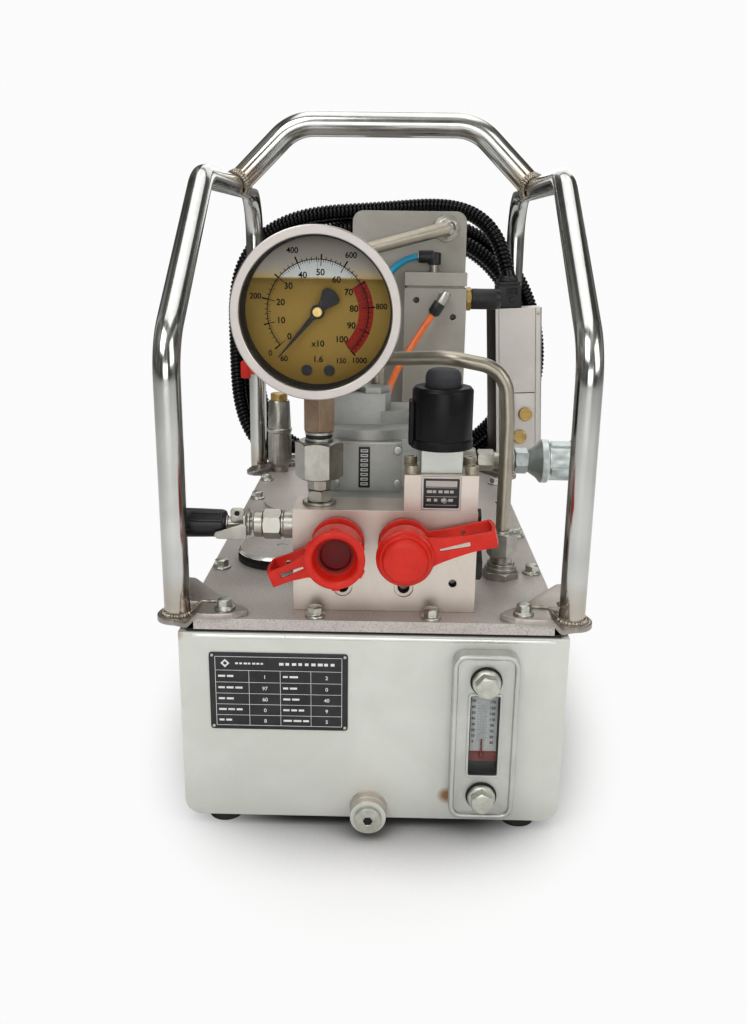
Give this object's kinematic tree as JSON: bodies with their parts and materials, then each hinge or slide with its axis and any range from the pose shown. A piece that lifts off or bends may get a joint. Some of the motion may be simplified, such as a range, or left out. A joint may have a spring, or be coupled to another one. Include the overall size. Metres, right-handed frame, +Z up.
{
  "type": "hydraulic power unit",
  "caption": "Air-driven hydraulic power unit: oil tank with pump, solenoid valve, pressure gauge, capped couplers, control pendant and a tubular carrying cage.",
  "frame": {"origin": "centre of the bounding box of the object without its hose, at the bottom of the feet, on the surface it stands on", "axes": "+Z up, front (gauge, couplers, level gauge) towards -Y, +X to the right of someone facing the front"},
  "size_m": [0.356, 0.5384, 0.515],
  "materials": {
    "tank_steel": "satin silver-grey, fine blasted",
    "foot_rubber": "matt",
    "seal_rubber": "matt",
    "blasted_aluminium": "bead blasted, slightly warm",
    "zinc_fastener": "bright zinc plated",
    "polished_stainless": "polished stainless tube",
    "satin_cast_aluminium": "satin cast",
    "clear_plastic": "clear moulded",
    "scale_white": "printed scale",
    "plate_black": "black anodised plate",
    "satin_aluminium": "satin machined, warm",
    "black_oxide": "black oxide",
    "nickel_steel": "nickel plated steel",
    "red_plastic": "semi-gloss red",
    "brushed_stainless": "brushed stainless",
    "gauge_glass": "laminated clear",
    "dial_face": "dial under amber fill fluid",
    "pointer_black": "satin black",
    "brass": "satin brass",
    "coil_black": "moulded black",
    "boot_rubber": "matt rubber",
    "screw_steel": "plain steel",
    "handle_black": "moulded black",
    "cast_aluminium": "blasted casting, grey",
    "grey_painted_plate": "light grey satin",
    "fitting_black": "moulded black",
    "tube_blue": "polyurethane tube",
    "tube_orange": "polyurethane tube",
    "champagne_nickel": "plated pipe, warm nickel",
    "galvanised": "bright galvanised, bluish",
    "pendant_aluminium": "anodised extrusion",
    "hose_black": "corrugated nylon conduit"
  },
  "bodies": {
    "root": {"tank": "tank_steel", "tank_feet": "foot_rubber", "gaskets": "seal_rubber", "cover_plate": "blasted_aluminium", "flange_bolts": "zinc_fastener", "cage_hoop_left": "polished_stainless", "cage_hoop_right": "polished_stainless", "cage_handle_bar": "polished_stainless", "drain_plug": "zinc_fastener", "level_gauge_frame": "satin_cast_aluminium", "level_gauge_lens": "clear_plastic", "level_gauge_scale": "scale_white", "data_plates": "plate_black", "manifold_block": "satin_aluminium", "manifold_plugs": "black_oxide", "coupler_nipples": "nickel_steel", "cap_straps": "red_plastic", "gauge_case": "brushed_stainless", "gauge_bezel": "brushed_stainless", "gauge_window": "gauge_glass", "gauge_dial": "dial_face", "gauge_adaptor": "nickel_steel", "bourdon_tube": "brass", "valve_body": "satin_aluminium", "valve_core": "nickel_steel", "valve_coil": "coil_black", "valve_screws": "screw_steel", "regulator_fitting": "nickel_steel", "pump_block": "satin_aluminium", "air_motor": "cast_aluminium", "suction_strainer": "brass", "breather_filter": "nickel_steel", "rear_plate": "grey_painted_plate", "air_valve_block": "grey_painted_plate", "push_fittings": "fitting_black", "blue_tube": "tube_blue", "orange_tube": "tube_orange", "silencer": "coil_black", "air_pipe": "champagne_nickel", "return_pipe": "champagne_nickel", "return_fitting": "nickel_steel", "inlet_fittings": "nickel_steel", "pendant_housing": "pendant_aluminium", "hose_glands": "fitting_black", "control_hose_tube": "hose_black", "control_hose_coil": "hose_black"},
    "pointer": {"gauge_pointer": "pointer_black"},
    "pressure_handle": {"regulator_handle": "handle_black"},
    "lock_lever": {"lock_lever": "nickel_steel"},
    "cap_left": {"dust_cap_left": "red_plastic"},
    "cap_right": {"dust_cap_right": "red_plastic"},
    "collar_left": {"coupler_collar_left": "nickel_steel"},
    "collar_right": {"coupler_collar_right": "nickel_steel"},
    "override": {"override_boot": "boot_rubber"},
    "spool": {"valve_spool": "nickel_steel"},
    "rotor": {"motor_rotor": "screw_steel"},
    "filler": {"filler_cap": "satin_aluminium"},
    "inlet": {"inlet_coupling": "galvanised"},
    "button_upper": {"pendant_button_upper": "brass"},
    "button_lower": {"pendant_button_lower": "brass"}
  },
  "joints": [
    {"name": "pointer_turn", "type": "hinge", "parent": "root", "child": "pointer", "pos_m": [-0.045, -0.218, 0.36], "axis": [0, 1, 0], "range_deg": [0, 270]},
    {"name": "pressure_adjust", "type": "hinge", "parent": "root", "child": "pressure_handle", "pos_m": [-0.106, -0.206, 0.213], "axis": [-1, 0, 0], "range_deg": [-720, 720]},
    {"name": "lock_lever_turn", "type": "hinge", "parent": "root", "child": "lock_lever", "pos_m": [-0.095, -0.206, 0.213], "axis": [-1, 0, 0], "range_deg": [-60, 60]},
    {"name": "cap_left_off", "type": "slide", "parent": "root", "child": "cap_left", "axis": [0, -1, 0], "range_m": [0, 0.03]},
    {"name": "cap_right_off", "type": "slide", "parent": "root", "child": "cap_right", "axis": [0, -1, 0], "range_m": [0, 0.03]},
    {"name": "collar_left_turn", "type": "hinge", "parent": "root", "child": "collar_left", "pos_m": [-0.031, -0.248, 0.208], "axis": [0, -1, 0], "continuous": true},
    {"name": "collar_right_turn", "type": "hinge", "parent": "root", "child": "collar_right", "pos_m": [0.014, -0.248, 0.208], "axis": [0, -1, 0], "continuous": true},
    {"name": "override_push", "type": "slide", "parent": "root", "child": "override", "axis": [0, 0, -1], "range_m": [0, 0.003], "stiffness_N_per_m": 900},
    {"name": "spool_shift", "type": "slide", "parent": "root", "child": "spool", "axis": [0, 0, -1], "range_m": [0, 0.003]},
    {"name": "rotor_spin", "type": "hinge", "parent": "root", "child": "rotor", "pos_m": [-0.014, -0.113, 0.238], "axis": [0, 0, 1], "continuous": true},
    {"name": "filler_cap_turn", "type": "hinge", "parent": "root", "child": "filler", "pos_m": [-0.082, -0.115, 0.163], "axis": [0, 0, 1], "range_deg": [0, 720]},
    {"name": "inlet_coupling_spin", "type": "hinge", "parent": "root", "child": "inlet", "pos_m": [0.124, -0.113, 0.24], "axis": [1, 0, 0], "continuous": true},
    {"name": "button_upper_press", "type": "slide", "parent": "root", "child": "button_upper", "axis": [0, 1, 0], "range_m": [0, 0.002], "stiffness_N_per_m": 700},
    {"name": "button_lower_press", "type": "slide", "parent": "root", "child": "button_lower", "axis": [0, 1, 0], "range_m": [0, 0.002], "stiffness_N_per_m": 700}
  ],
  "couplings": [
    {"joint": "spool_shift", "follows": "override_push", "ratio": 1}
  ]
}
